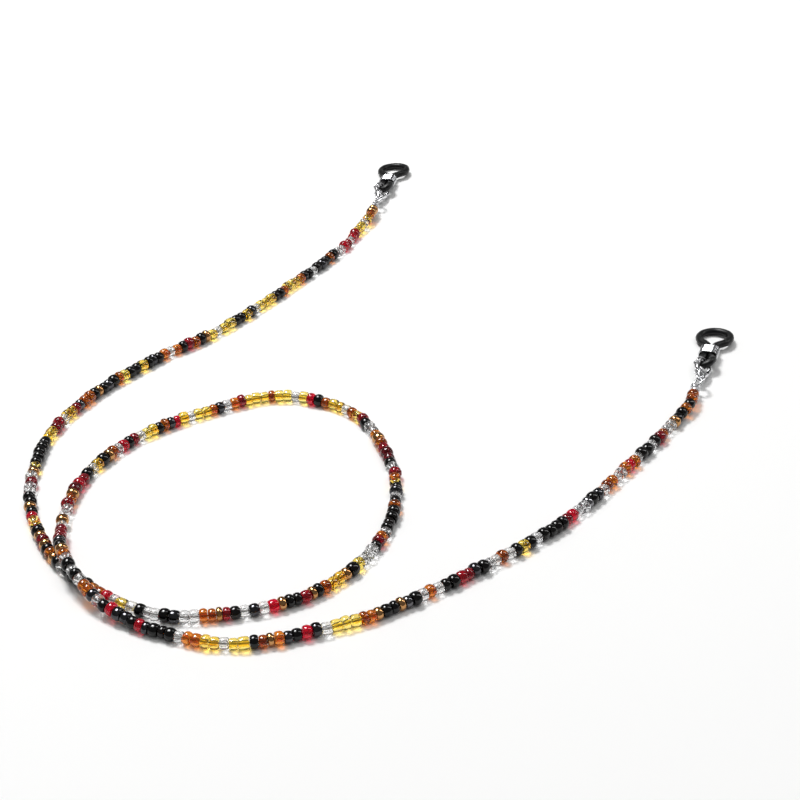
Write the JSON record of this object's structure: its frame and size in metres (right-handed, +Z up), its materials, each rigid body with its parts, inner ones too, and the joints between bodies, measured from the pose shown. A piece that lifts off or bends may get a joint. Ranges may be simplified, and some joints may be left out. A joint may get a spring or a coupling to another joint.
{
  "type": "eyeglass retainer strap",
  "caption": "Beaded eyeglass retainer strap: a looped strand of glass seed beads with a lobster clasp and a coil-tightened rubber temple loop at each end.",
  "frame": {"origin": "on the table, under the middle of the box round the two chains of fittings", "axes": "+Z up from the table, +Y from the strap towards the glasses that it holds, +X to the right as seen from behind the wearer"},
  "size_m": [0.1818, 0.2529, 0.0063],
  "materials": {
    "bead_black": "glossy opaque black glass",
    "bead_hematite": "metallic dark grey lustre",
    "bead_amber": "transparent yellow amber",
    "bead_crystal": "clear crystal",
    "bead_copper": "transparent copper brown",
    "bead_bronze": "rose-bronze metallic lustre",
    "bead_ruby": "transparent ruby red",
    "bead_garnet": "dark garnet",
    "thread": "satin nylon-coated thread",
    "dull_steel": "plated, slightly dull",
    "ring_steel": "polished",
    "clasp_steel": "polished, fine scratches",
    "coil_wire": "polished wire",
    "rubber": "satin black"
  },
  "bodies": {
    "strand": {"bead_strand": "bead_black", "beading_thread": "thread", "left_bead_tip": "dull_steel", "left_crimp_bead": "dull_steel", "right_bead_tip": "dull_steel", "right_crimp_bead": "dull_steel"},
    "left_ring": {"left_jump_ring": "ring_steel"},
    "left_clasp": {"left_clasp_body": "clasp_steel", "left_clasp_rivet": "clasp_steel", "left_clasp_spring": "dull_steel"},
    "left_lever": {"left_clasp_lever": "clasp_steel"},
    "left_connector": {"left_rubber_loop": "rubber"},
    "left_slider": {"left_coil_slider": "coil_wire"},
    "right_ring": {"right_jump_ring": "ring_steel"},
    "right_clasp": {"right_clasp_body": "clasp_steel", "right_clasp_rivet": "clasp_steel", "right_clasp_spring": "dull_steel"},
    "right_lever": {"right_clasp_lever": "clasp_steel"},
    "right_connector": {"right_rubber_loop": "rubber"},
    "right_slider": {"right_coil_slider": "coil_wire"}
  },
  "joints": [
    {"name": "left_ring_swing", "type": "hinge", "parent": "strand", "child": "left_ring", "pos_m": [-0.04825, 0.04136, 0.00255], "axis": [0.6941, -0.1349, -0.7071], "range_deg": [0, 45]},
    {"name": "left_clasp_swing", "type": "hinge", "parent": "left_ring", "child": "left_clasp", "pos_m": [-0.04756, 0.0449, 0.00255], "axis": [0.6941, -0.1349, 0.7071], "range_deg": [0, 45]},
    {"name": "left_lever_swing", "type": "hinge", "parent": "left_clasp", "child": "left_lever", "pos_m": [-0.04766, 0.04792, 0.00322], "axis": [-0.6941, 0.1349, -0.7071], "range_deg": [0, 22], "stiffness_Nm_per_rad": 0.002, "springref_deg": -11.46},
    {"name": "left_loop_swing", "type": "hinge", "parent": "left_clasp", "child": "left_connector", "pos_m": [-0.04575, 0.05422, 0.00255], "axis": [0.6941, -0.1349, -0.7071], "range_deg": [0, 26]},
    {"name": "left_coil_slide", "type": "slide", "parent": "left_connector", "child": "left_slider", "axis": [0.1905, 0.9798, -0.061], "range_m": [0, 0.0018]},
    {"name": "right_ring_swing", "type": "hinge", "parent": "strand", "child": "right_ring", "pos_m": [0.03672, -0.07126, 0.00255], "axis": [0.6725, -0.2185, -0.7071], "range_deg": [0, 45]},
    {"name": "right_clasp_swing", "type": "hinge", "parent": "right_ring", "child": "right_clasp", "pos_m": [0.03783, -0.06783, 0.00255], "axis": [0.6725, -0.2185, 0.7071], "range_deg": [0, 45]},
    {"name": "right_lever_swing", "type": "hinge", "parent": "right_clasp", "child": "right_lever", "pos_m": [0.0381, -0.06482, 0.00322], "axis": [-0.6725, 0.2185, -0.7071], "range_deg": [0, 22], "stiffness_Nm_per_rad": 0.002, "springref_deg": -11.46},
    {"name": "right_loop_swing", "type": "hinge", "parent": "right_clasp", "child": "right_connector", "pos_m": [0.04076, -0.0588, 0.00255], "axis": [0.6725, -0.2185, -0.7071], "range_deg": [0, 26]},
    {"name": "right_coil_slide", "type": "slide", "parent": "right_connector", "child": "right_slider", "axis": [0.3084, 0.9493, -0.061], "range_m": [0, 0.0018]}
  ]
}
